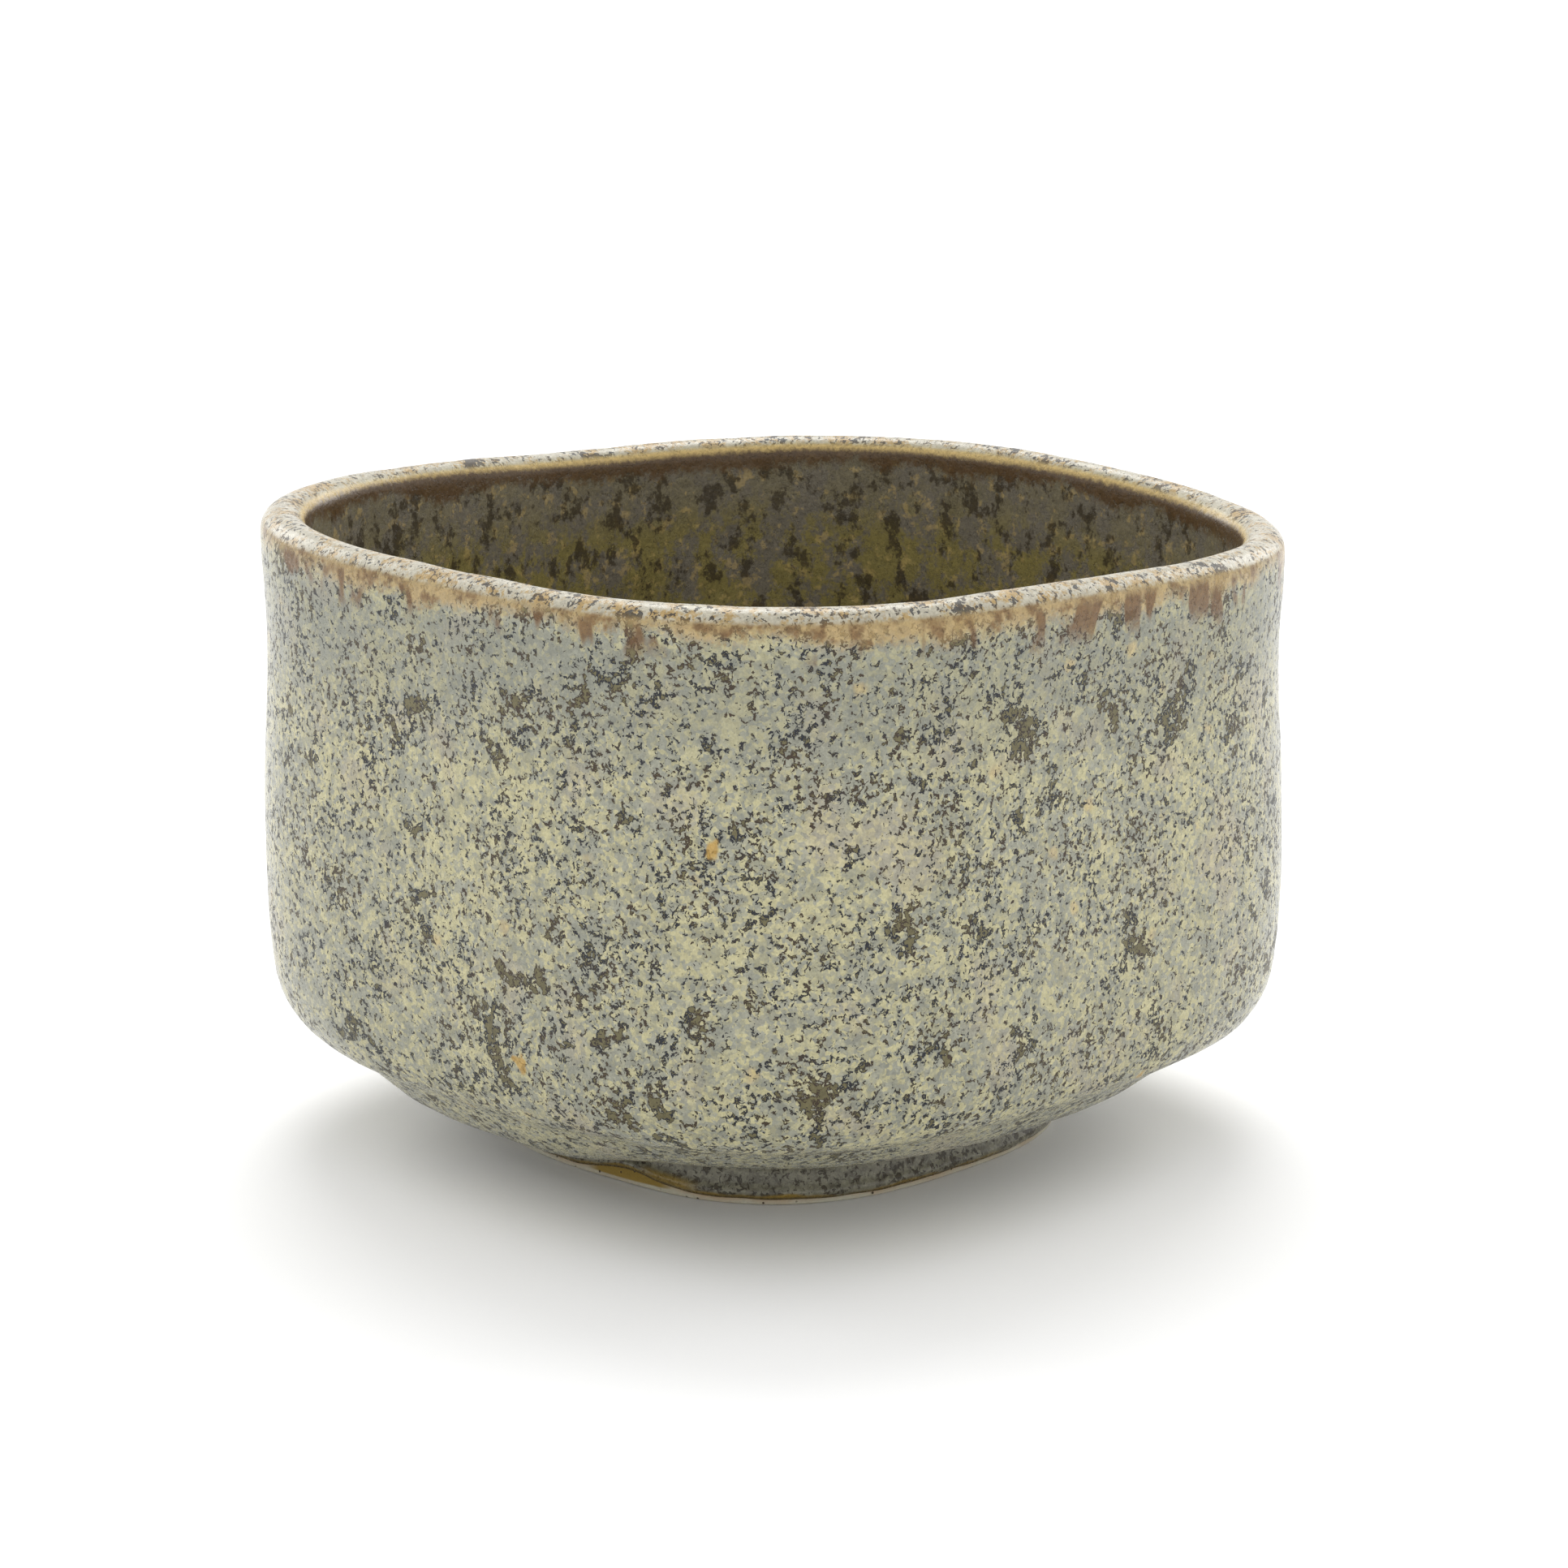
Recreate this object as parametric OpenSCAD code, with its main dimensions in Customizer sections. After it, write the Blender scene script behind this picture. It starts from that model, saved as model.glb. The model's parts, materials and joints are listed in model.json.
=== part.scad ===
// Squared stoneware tea bowl, hand-built on a foot ring that is luted to its base,
// and coated with glaze inside and out. The four flat sides face +X, -X, +Y and -Y.
// The origin is the centre of the foot, on the table. Every radius is measured to
// the middle of a flat side, and squared() carries it round to the corners.

/* [Bowl] */
// Width across two opposite flat sides, over the glaze
bowl_w = 106.4; // [90:0.2:130]
// Height of the lip above the table, before its wave, over the glaze
bowl_h = 73.5; // [60:0.2:92]
// Squareness of the wall's plan, where 2 is a circle
wall_square = 3; // [2.2:0.1:4]
// Height at which the belly turns into the wall
shoulder_h = 22; // [17:0.1:28]
// How far the shoulder draws in from the lip, on each side
shoulder_draw = 0.75; // [0:0.05:3]
// Depth of the shallow waist under the lip
waist_d = 0.65; // [0:0.05:2]

/* [Clay] */
// Thickness of the wall at the lip
lip_t = 4; // [2.6:0.1:6]
// Thickness of the wall at the shoulder
wall_t = 4.8; // [3:0.1:7]
// Thickness of the floor at its middle
floor_t = 5.6; // [4:0.1:9]
// Height above the middle of the floor at which the inner wall starts to turn
inner_turn = 20; // [14:0.5:28]
// Half width of the level spot at the middle of the floor
pool_r = 5; // [3:0.5:12]

/* [Belly] */
// Squareness that the belly is pulled towards, between the foot and the shoulder
belly_square = 1.8; // [0.8:0.1:3]
// Reach of the curve's handle beside the foot, as a share of the belly's reach
near_reach = 1.12; // [0.7:0.02:1.3]
// Rise of that handle, as a share of the belly's rise
near_rise = 0.01; // [0:0.01:0.2]
// Reach of the middle handle
mid_reach = 0.5; // [0.4:0.01:0.9]
// Rise of the middle handle
mid_rise = 0.9; // [0.3:0.01:0.95]
// Rise of the handle below the shoulder
far_rise = 0; // [0:0.01:0.8]

/* [Lip wave] */
// Rise of the lip towards its highest corner
tilt_h = 0.8; // [0:0.05:2]
// Direction of the highest corner
tilt_at = 225; // [0:1:359]
// Heights of the two-, three- and four-lobed waves along the lip
wave_h = [0.26, 0.63, 0.19]; // [0:0.01:1]
// Directions of a crest of each wave
wave_at = [94, 95, 12]; // [0:1:359]

/* [Foot] */
// Width of the foot across its flat sides, on the table
foot_w = 61.6; // [48:0.2:74]
// Height of the foot
foot_h = 6; // [4.6:0.1:8]
// How far the foot draws in from the table to its neck, on each side
foot_draw = 1.4; // [0:0.1:3]
// Thickness of the foot ring
foot_t = 6.2; // [4:0.1:8]
// Squareness of the foot's plan
foot_square = 2.7; // [2.2:0.1:4]

/* [Glaze] */
// Thickness of every coat of glaze
glaze_t = 0.4; // [0.25:0.05:0.8]
// Height of the bare clay between the table and the glaze on the foot
bare_h = 1.4; // [0.8:0.1:2.5]
// Depth of the brown lip band on the outside
band_out = 5; // [3:0.5:10]
// Depth of the brown lip band on the inside
band_in = 4.5; // [3:0.5:10]

/* [Hidden] */

// Points round every ring, and points along each stretch of the section
sides = 72;
belly_steps = 9;
wall_steps = 6;
lip_steps = 8;
inner_steps = 4;
floor_steps = 8;
// How much rounder the plan is at the middle of the floor than at the wall
floor_square = 2.2;

// Bare clay sizes under the glaze
clay_r = bowl_w / 2 - glaze_t;
shoulder_r = clay_r - shoulder_draw;
lip_r = lip_t / 2;
lip_h = bowl_h - glaze_t - lip_r;
foot_r = foot_w / 2;
neck_r = foot_r - foot_draw;
well_r = foot_r - foot_t;
floor_h = foot_h + floor_t;
turn_h = floor_h + inner_turn;

// ---- section: each station is [radius across flats, height, squareness] ----

function mix(a, b, t) = a + (b - a) * t;

function bezier(points, t) =
    len(points) == 1 ? points[0]
    : bezier([for (i = [0 : len(points) - 2]) mix(points[i], points[i + 1], t)], t);

// The share of the wall's height from the shoulder to the lip
function up(z) = min(1, max(0, (z - shoulder_h) / (lip_h - shoulder_h)));

function outer_r(z) =
    let (t = up(z)) clay_r - shoulder_draw * pow(1 - t, 3) - waist_d * pow(sin(180 * t * t), 2);

function inner_r(z) = clay_r - mix(wall_t, lip_t, up(z));

foot_side = [
    for (z = [0, bare_h, foot_h])
        [mix(foot_r, neck_r, z / foot_h), z, foot_square]
];

belly_reach = shoulder_r - neck_r;
belly_rise = shoulder_h - foot_h;
belly_curve = [
    [neck_r, foot_h],
    [neck_r + near_reach * belly_reach, foot_h + near_rise * belly_rise],
    [neck_r + mid_reach * belly_reach, foot_h + mid_rise * belly_rise],
    [shoulder_r, foot_h + far_rise * belly_rise],
    [shoulder_r, shoulder_h]
];
belly_squares = [foot_square, belly_square, wall_square, wall_square];

belly = [
    for (i = [1 : belly_steps])
        let (t = i / belly_steps, p = bezier(belly_curve, t))
            [p.x, p.y, bezier(belly_squares, t)]
];

wall = [
    for (i = [1 : wall_steps])
        let (z = mix(shoulder_h, bowl_h - band_out, i / wall_steps))
            [outer_r(z), z, wall_square]
];

lip = [
    for (i = [0 : lip_steps])
        let (a = 180 * i / lip_steps)
            [clay_r - lip_r + lip_r * cos(a), lip_h + lip_r * sin(a), wall_square]
];

inner_wall = [
    for (i = [0 : inner_steps])
        let (z = mix(bowl_h - band_in, turn_h, i / inner_steps))
            [inner_r(z), z, wall_square]
];

floor_curve = [
    [inner_r(turn_h), turn_h],
    [inner_r(turn_h), floor_h],
    [inner_r(turn_h) - wall_t, floor_h],
    [pool_r, floor_h]
];

bowl_floor = [
    for (i = [1 : floor_steps])
        let (t = i / floor_steps, p = bezier(floor_curve, t))
            [p.x, p.y, mix(wall_square, floor_square, t)]
];

// The clay's surface from the glaze line on the foot, over the lip, to the floor
clay = concat([foot_side[1], foot_side[2]], belly, wall, lip, inner_wall, bowl_floor);

first_band = 1 + belly_steps + wall_steps;
last_band = first_band + lip_steps + 2;
last = len(clay) - 1;

// The outward unit normal of the stretch from p to q
function outward(p, q) = let (d = [q.y - p.y, p.x - q.x]) d / norm(d);

// A station moved out by the glaze, mitred between the stretches on its two sides
function glazed(k) =
    let (
        before = outward(clay[max(0, k - 1)], clay[max(1, k)]),
        after = outward(clay[min(last - 1, k)], clay[min(last, k + 1)]),
        both = before + after,
        move = both * 2 * glaze_t / (both * both)
    )
    [clay[k].x + move.x, clay[k].y + move.y, clay[k][2]];

function clay_from(first, end) = [for (k = [first : end]) clay[k]];
function glaze_from(first, end) = [for (k = [first : end]) glazed(k)];

// ---- plan and lip: stations become rings of points ----

// Radius of the squared plan, as a multiple of its radius across the flats
function squared(a, square) =
    pow(pow(abs(cos(a)), square) + pow(abs(sin(a)), square), -1 / square);

function lip_wave(a) =
    tilt_h * cos(a - tilt_at)
    + wave_h[0] * cos(2 * (a - wave_at[0]))
    + wave_h[1] * cos(3 * (a - wave_at[1]))
    + wave_h[2] * cos(4 * (a - wave_at[2]));

function place(station, a) =
    let (r = station.x * squared(a, station[2]))
        [r * cos(a), r * sin(a), station.y + up(station.y) * lip_wave(a)];

function rings(stations) =
    [for (station = stations, i = [0 : sides - 1]) place(station, 360 * i / sides)];

// Two triangles on each side of ring i, up to ring j. The diagonal turns over on a
// surface that is listed backwards, so that two pieces share the same triangles.
function band(i, j, backwards) = [
    for (k = [0 : sides - 1])
        let (
            a = i * sides + k,
            b = i * sides + (k + 1) % sides,
            c = j * sides + (k + 1) % sides,
            d = j * sides + k
        )
        each backwards ? [[a, d, b], [b, d, c]] : [[a, c, b], [a, d, c]]
];

function cap_down(i) = [[for (k = [0 : sides - 1]) i * sides + k]];
function cap_up(i) = [[for (k = [sides - 1 : -1 : 0]) i * sides + k]];

// A closed solid whose section runs from its lowest cap to its last one
module solid(stations) {
    end = len(stations) - 1;
    sleeve = [for (i = [0 : end - 1]) each band(i, i + 1, false)];
    polyhedron(rings(stations), concat(cap_down(0), sleeve, cap_up(end)));
}

// A coat between its outer face and the clay. A coat over the floor ends in caps.
module coat(face, back, over_floor = false) {
    turn = len(face);
    end = turn + len(back) - 1;
    outer = [for (i = [0 : turn - 2]) each band(i, i + 1, false)];
    inner = [for (i = [turn : end - 1]) each band(i, i + 1, true)];
    edge = over_floor ? concat(cap_up(turn - 1), cap_down(turn)) : band(turn - 1, turn, false);
    reversed = [for (i = [len(back) - 1 : -1 : 0]) back[i]];
    polyhedron(rings(concat(face, reversed)), concat(outer, edge, inner, band(end, 0, true)));
}

// The upright space inside the foot ring, between two heights
module well(bottom, top) {
    translate([0, 0, bottom])
        linear_extrude(top - bottom)
            polygon([
                for (i = [0 : sides - 1])
                    let (a = 360 * i / sides, r = well_r * squared(a, foot_square))
                        [r * cos(a), r * sin(a)]
            ]);
}

// ---- pieces ----

module clay_body() {
    color([0.62, 0.58, 0.50])
        solid(clay_from(1, last));
}

module foot_ring() {
    color([0.74, 0.71, 0.62])
        difference() {
            solid(foot_side);
            well(-foot_h, 2 * foot_h);
        }
}

module outer_glaze() {
    color([0.70, 0.69, 0.60])
        coat(glaze_from(0, first_band), clay_from(0, first_band));
}

module lip_glaze() {
    color([0.55, 0.40, 0.24])
        coat(glaze_from(first_band, last_band), clay_from(first_band, last_band));
}

module inner_glaze() {
    color([0.42, 0.39, 0.28])
        coat(glaze_from(last_band, last), clay_from(last_band, last), over_floor = true);
}

module foot_well_glaze() {
    color([0.50, 0.46, 0.36])
        well(foot_h - glaze_t, foot_h);
}

clay_body();
foot_ring();
outer_glaze();
lip_glaze();
inner_glaze();
foot_well_glaze();
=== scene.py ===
import json
import math

import bmesh
import bpy
from bpy.props import FloatProperty, FloatVectorProperty, IntProperty, PointerProperty
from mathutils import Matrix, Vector, noise

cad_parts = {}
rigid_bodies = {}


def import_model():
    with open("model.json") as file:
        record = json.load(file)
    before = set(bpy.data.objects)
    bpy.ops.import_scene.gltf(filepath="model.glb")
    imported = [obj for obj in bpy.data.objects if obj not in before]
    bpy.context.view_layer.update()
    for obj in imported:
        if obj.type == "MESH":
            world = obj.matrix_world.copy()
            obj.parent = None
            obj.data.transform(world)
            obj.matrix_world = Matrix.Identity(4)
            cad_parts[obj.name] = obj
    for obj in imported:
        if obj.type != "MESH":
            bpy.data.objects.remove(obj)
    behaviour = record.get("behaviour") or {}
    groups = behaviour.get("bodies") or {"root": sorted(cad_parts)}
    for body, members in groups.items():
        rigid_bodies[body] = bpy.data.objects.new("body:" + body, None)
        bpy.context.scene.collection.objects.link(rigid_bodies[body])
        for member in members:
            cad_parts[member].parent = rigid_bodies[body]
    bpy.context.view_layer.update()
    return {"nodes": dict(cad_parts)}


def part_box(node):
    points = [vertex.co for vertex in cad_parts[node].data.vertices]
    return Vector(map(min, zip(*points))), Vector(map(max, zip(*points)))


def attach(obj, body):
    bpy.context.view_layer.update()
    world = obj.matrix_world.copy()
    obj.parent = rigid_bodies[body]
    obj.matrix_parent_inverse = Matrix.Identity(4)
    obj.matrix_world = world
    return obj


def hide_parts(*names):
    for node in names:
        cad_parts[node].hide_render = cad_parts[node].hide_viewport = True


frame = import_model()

bl_info = {
    "name": "Squared tea bowl",
    "version": (1, 0, 0),
    "blender": (4, 5, 0),
    "location": "3D View > Sidebar > Tea bowl",
    "description": "Models the clay, the coats of glaze and the stage of a squared tea bowl",
    "category": "Add Mesh",
}

MM = 0.001
NEAR = 0.00001

# ---- sizes that the CAD frame settles ----

FOOT_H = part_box("clay_body")[0].z
BARE_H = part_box("outer_glaze")[0].z
FOOT_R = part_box("foot_ring")[1].x
WELL_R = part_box("foot_well_glaze")[1].x
NECK_R = max(v.co.x for v in frame["nodes"]["clay_body"].data.vertices if v.co.z < FOOT_H + NEAR)
GLAZE_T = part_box("outer_glaze")[1].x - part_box("clay_body")[1].x

# Points in each ring of the clay's mesh
COLUMNS = 72

# The parts of the form, kept on its faces
CEILING, FOOT, GLAZED_FOOT, OUTSIDE, LIP, INSIDE = range(6)

# ---- sizes that belong to the way the form is made ----

LIP_DEPTH = 5.5 * MM        # how far the lip reaches down on both sides
FLOOR_CAP_R = 5.4 * MM      # the level middle of the floor
FOOT_RINGS = (0.7 * MM, 1.9 * MM)  # extra rings of points, above the bare clay
FLOOR_RINGS = (0.7, 0.55)   # each ring of the floor's middle, as a share of the last
WELL_RINGS = (0.95, 0.84, 0.8, 0.74, 0.64, 0.45)  # the same in the foot's well
DROOP_H = 12 * MM           # the belly's droop fades out this far above the foot
SWELL_STARTS = (FOOT_H + 3 * MM, 20 * MM)  # heights over which the corners' swell grows
SWELL_ENDS = (30 * MM, 70 * MM)            # and those over which it fades
WELL_MIDDLE = 9 * MM        # the well's spiral grows from its centre to here
WELL_EDGE = 3 * MM          # and fades out this near its wall
SPIRAL_TURN = 1.45          # radians that it turns in each millimetre
RING_TURN = 0.9             # the same for the throwing rings, going up
RING_TILT = 1.3             # radians that the rings lean to one side
RING_FADE = 15 * MM         # they reach their height this far below the lip
FAR_ABOVE = 1.0             # a height that no glaze on the foot reaches
SMOOTH_UNDER = math.radians(40)   # edges flatter than this are shaded smooth

# The roll of glaze on the foot, in millimetres above the glaze's edge
ROLL_AT, ROLL_SPREAD, ROLL_TOP = 0.75, 0.6, 2.4
TAPER_TOP, EDGE_SHARE = 0.35, 0.45   # under this height it thins, to this share at the edge

# Directions round the bowl, in degrees, and how far each feature spreads
STOP_FRONT, STOP_FRONT_SPREAD = -78, 10   # where the glaze stops high in front
STOP_BACK, STOP_BACK_SPREAD = 118, 24     # and behind
PINCH_AT, PINCH_SPREAD = -138, 15         # the corner of the foot that was pressed in
DROOP_STARTS, DROOP_ENDS = (-160, -138), (-84, -60)   # where the droop grows and fades

# Places on the foot, for the glaze and the clay
DROP_AT = (12.6 * MM, -30.8 * MM, 1.6 * MM)   # a thick drop at the end of the high stop
WASH_AT = (6.4 * MM, -30.1 * MM, 1.3 * MM)    # the amber wash under the high stop
SYRUP_WAY = (0.710, -0.704, 0.0)              # the clear edge shows this way and opposite


# ---- what a user would change ----


def length(name, description, default, **more):
    return FloatProperty(name=name, description=description, default=default,
                         unit="LENGTH", subtype="DISTANCE", precision=5, **more)


def colour(name, description, default):
    return FloatVectorProperty(name=name, description=description, default=default,
                               subtype="COLOR", size=3, min=0.0, max=1.0)


class TeaBowlShape(bpy.types.PropertyGroup):
    """Sizes of the hand-made unevenness and of the edges"""
    wall_wander: length("Wall wander", "How far the wall wanders from its true curve",
                        0.26 * MM)
    wall_dimple: length("Wall dimples", "Depth of the small dimples that fingers left",
                        0.07 * MM)
    droop: length("Belly droop", "How far the belly sank beside one corner of the foot",
                  1.9 * MM)
    foot_pinch: length("Foot pinch", "How far one corner of the foot was pressed in",
                       1.3 * MM)
    swell: length("Corner swell", "How far the four corners of the wall swell out low down",
                  1.0 * MM)
    lip_nick: length("Lip unevenness", "How far the top of the lip rises and dips",
                     0.10 * MM)
    throw_ring: length("Throwing rings", "Height of the rings on the inner wall",
                       0.12 * MM)
    well_spiral: length("Well spiral", "Height of the spiral that the tool left in the well",
                        0.22 * MM)
    foot_round: length("Foot rounding", "Rounding of the two edges that the foot stands on",
                       0.6 * MM)
    bare_low: length("Lowest glaze line", "Bare clay under the glaze where it ran lowest",
                     0.70 * MM)
    bare_high: length("Highest glaze line", "Bare clay under the glaze where it stopped high",
                      1.85 * MM)
    roll: length("Glaze roll", "Thickness of the roll of glaze along its edge on the foot",
                 0.62 * MM)
    smooth: IntProperty(name="Smoothing", description="Levels of subdivision of the form",
                        default=2, min=1, max=3)


class TeaBowlColours(bpy.types.PropertyGroup):
    """Colours of the glazes and of the clay"""
    cream: colour("Cream", "Yellowish islands of the outer glaze", (0.485, 0.450, 0.260))
    ash: colour("Ash grey", "Light grey of the outer glaze", (0.312, 0.312, 0.246))
    slate: colour("Blue grey", "Cool grey of the outer glaze", (0.178, 0.185, 0.155))
    blush: colour("Blush", "Faint pink of the outer glaze", (0.43, 0.36, 0.26))
    white: colour("Fringe", "Whitish glaze on top of the lip", (0.46, 0.43, 0.34))
    ink: colour("Ink", "Cool flecks where the glaze crawled", (0.012, 0.014, 0.020))
    rust: colour("Rust", "Warm flecks in the glaze and the clay", (0.045, 0.028, 0.014))
    olive: colour("Olive", "Flat patches of thin glaze", (0.135, 0.118, 0.055))
    amber: colour("Amber", "Iron spots of the outer glaze", (0.46, 0.28, 0.060))
    syrup: colour("Syrup", "Clear glaze along its edge on the foot",
                  (0.27, 0.180, 0.034))
    tan: colour("Tan", "Band under the lip", (0.41, 0.285, 0.120))
    umber: colour("Umber", "Drips of the band under the lip", (0.145, 0.072, 0.022))
    # its line inside the lip is partly a painted highlight; its warm spots outside and specks
    # inside are the glaze's own colour
    honey_and_highlight: colour("Honey", "Line inside the lip, and warm spots", (0.60, 0.435, 0.165))
    dusk: colour("Dusk", "Grey below the lip on the inside", (0.185, 0.165, 0.128))
    moss: colour("Moss", "Olive of the inside", (0.240, 0.200, 0.070))
    bark: colour("Bark", "Darkest brown, inside and on the foot", (0.050, 0.038, 0.022))
    smoke: colour("Smoke", "Dark glaze on the side of the foot", (0.19, 0.175, 0.125))
    clay: colour("Bare clay", "Pale clay of the foot", (0.47, 0.455, 0.36))
    toast: colour("Toasted clay", "Clay that the fire toasted beside the glaze",
                  (0.42, 0.29, 0.17))
    paper: colour("Floor", "Colour of the floor", (0.93, 0.93, 0.93))


class TeaBowlStage(bpy.types.PropertyGroup):
    """Places of the camera and strengths of the lights"""
    camera_turn: FloatProperty(name="Camera direction", description="Turn round the bowl",
                               default=math.radians(44.54), subtype="ANGLE")
    camera_far: length("Camera distance", "Level distance from the bowl's axis", 0.5)
    camera_high: length("Camera height", "Height above the floor", 0.1637)
    camera_dip: FloatProperty(name="Camera dip", description="How far it looks down",
                              default=0.241, subtype="ANGLE")
    camera_aside: FloatProperty(name="Camera aside", description="Small turn to the right",
                                default=0.0024, subtype="ANGLE")
    lens: FloatProperty(name="Lens", description="Focal length", default=100.1,
                        unit="CAMERA")
    floor_w: length("Floor width", "Width of the floor", 8.0)
    horizon: FloatProperty(name="Horizon", description="Brightness of the room at eye level",
                           default=1.22, min=0.0)
    zenith: FloatProperty(name="Zenith", description="Brightness of the room overhead",
                          default=0.85, min=0.0)
    overhead: FloatProperty(name="Overhead light", description="Strength of the soft light",
                            default=1.45, min=0.0)
    fill: FloatProperty(name="Fill", description="Strength of the lights behind both sides",
                        default=0.75, min=0.0)
    overhead_back: FloatProperty(name="Overhead light back", default=0.72,
                                 description="How far the soft light stands behind")
    fill_aside: FloatProperty(name="Fill aside", default=0.8,
                              description="How far the side lights stand out and behind")
    fill_high: FloatProperty(name="Fill height", default=0.5,
                             description="How high the side lights stand")
    softness: FloatProperty(name="Softness", description="Angle that the soft light fills",
                            default=math.radians(34), subtype="ANGLE")


# ---- modelling by operators ----


def alone(*pieces):
    """Selects these pieces only; the last one is active."""
    if bpy.context.object and bpy.context.object.mode != "OBJECT":
        bpy.ops.object.mode_set(mode="OBJECT")
    bpy.ops.object.select_all(action="DESELECT")
    for piece in pieces:
        piece.select_set(True)
    bpy.context.view_layer.objects.active = pieces[-1]


def pick(piece, kind, test):
    """Enters edit mode on a piece with the faces, edges or verts that pass a test."""
    alone(piece)
    bpy.ops.object.mode_set(mode="EDIT")
    bpy.ops.mesh.select_mode(type={"faces": "FACE", "edges": "EDGE", "verts": "VERT"}[kind])
    bpy.ops.mesh.select_all(action="DESELECT")
    mesh = bmesh.from_edit_mesh(piece.data)
    mesh.normal_update()
    found = [element for element in getattr(mesh, kind) if test(element)]
    for element in found:
        element.select_set(True)
    bmesh.update_edit_mesh(piece.data)
    if not found:
        raise RuntimeError(f"nothing to select on {piece.name}")


def done():
    bpy.ops.object.mode_set(mode="OBJECT")


def copy_of(source, name):
    """A copy with its own mesh."""
    alone(source)
    bpy.ops.object.duplicate()
    piece = bpy.context.object
    piece.name = piece.data.name = name
    return piece


def pull_ring(scale=1.0, rise=0.0):
    """Extrudes the selected loop, then scales it about the bowl's axis and raises it."""
    bpy.ops.mesh.extrude_region_move(TRANSFORM_OT_translate={"value": (0, 0, rise)})
    if scale != 1.0:
        bpy.ops.transform.resize(value=(scale, scale, 1), center_override=(0, 0, 0))


def part_tags(piece):
    return piece.data.attributes["part"].data


def keep_parts(piece, parts):
    """Deletes the faces of a copy of the form that belong to other parts."""
    tags = [t.value for t in part_tags(piece)]
    pick(piece, "faces", lambda f: tags[f.index] not in parts)
    bpy.ops.mesh.delete(type="FACE")
    done()


def close_border(piece, test):
    """Joins the two open loops whose edges pass a test."""
    pick(piece, "edges", lambda e: e.is_boundary and test(e))
    bpy.ops.mesh.bridge_edge_loops()
    done()


def finish_piece(piece, slot, material, *nodes):
    """Shades, paints and places a piece."""
    pick(piece, "faces", lambda f: True)
    bpy.ops.mesh.normals_make_consistent(inside=False)
    done()
    bpy.ops.object.shade_smooth_by_angle(angle=SMOOTH_UNDER)
    piece.data.materials.clear()
    piece.data.materials.append(material)
    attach(piece, "root")
    if nodes:
        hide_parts(*nodes)
    return piece


# ---- the thrown form, which every piece is cut from ----


def flat_radius(point):
    return math.hypot(point.x, point.y)


def azimuth(point):
    """Direction round the bowl, and 0 on its axis, where there is none."""
    return math.atan2(point.y, point.x) if flat_radius(point) > NEAR else 0.0


def columns(points, count):
    """The number of the column of points that each point stands in."""
    return [round(azimuth(p) / math.tau * count) % count for p in points]


def crest_of(points, count):
    """Height and radius of the highest point of each column."""
    crest = [(-1.0, 0.0)] * count
    for point, column in zip(points, columns(points, count)):
        crest[column] = max(crest[column], (point.z, flat_radius(point)))
    return crest


def is_diagonal(edge):
    """True if an edge is the longest one of both its triangles."""
    if len(edge.link_faces) != 2:
        return False
    own = edge.calc_length()
    return all(
        len(face.verts) == 3
        and all(own > other.calc_length() for other in face.edges if other != edge)
        for face in edge.link_faces
    )


def faces_out(face):
    middle = face.calc_center_median()
    return face.normal.xy.dot(middle.xy) > 0


def join_clay():
    """A closed copy of the clay body and its foot, in squares, without the caps."""
    alone(frame["nodes"]["foot_ring"], frame["nodes"]["clay_body"])
    bpy.ops.object.duplicate()
    bpy.ops.object.join()
    form = bpy.context.object
    form.name = form.data.name = "bowl_form"
    bpy.ops.object.parent_clear(type="CLEAR_KEEP_TRANSFORM")
    for key in list(form.keys()):
        if key.startswith("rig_"):
            del form[key]
    form.data.materials.clear()
    pick(form, "verts", lambda v: True)
    bpy.ops.mesh.remove_doubles(threshold=NEAR)
    done()

    def unwanted(face):
        heights = [v.co.z for v in face.verts]
        if max(heights) < NEAR:
            return True
        if min(heights) > FOOT_H - NEAR and max(heights) < FOOT_H + NEAR:
            return True
        if max(heights) < FOOT_H + NEAR and not faces_out(face):
            return True
        return face.normal.z > 0.99 and flat_radius(face.calc_center_median()) < FLOOR_CAP_R

    pick(form, "faces", unwanted)
    bpy.ops.mesh.delete(type="FACE")
    done()
    pick(form, "edges", is_diagonal)
    bpy.ops.mesh.dissolve_edges(use_verts=False)
    done()
    return form


def turn_foot(form, rounding):
    """Gives the form its foot face, its well and the middle of its floor."""
    for height in FOOT_RINGS:
        pick(form, "faces",
             lambda f: BARE_H + NEAR < max(v.co.z for v in f.verts) < FOOT_H + NEAR)
        bpy.ops.mesh.bisect(plane_co=(0, 0, BARE_H + height), plane_no=(0, 0, 1))
        done()
    pick(form, "edges", lambda e: e.is_boundary and e.verts[0].co.z > FOOT_H)
    for scale in FLOOR_RINGS:
        pull_ring(scale)
    bpy.ops.mesh.merge(type="CENTER")
    done()
    pick(form, "edges", lambda e: e.is_boundary)
    pull_ring(WELL_R / FOOT_R)
    pull_ring(rise=FOOT_H)
    for scale in WELL_RINGS:
        pull_ring(scale)
    bpy.ops.mesh.merge(type="CENTER")
    bpy.ops.mesh.select_all(action="SELECT")
    bpy.ops.mesh.normals_make_consistent(inside=False)
    done()
    pick(form, "edges", lambda e: max(v.co.z for v in e.verts) < NEAR
         and e.calc_face_angle(0.0) > 1.0)
    bpy.ops.mesh.bevel(offset=rounding, segments=2, affect="EDGES")
    done()


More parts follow.
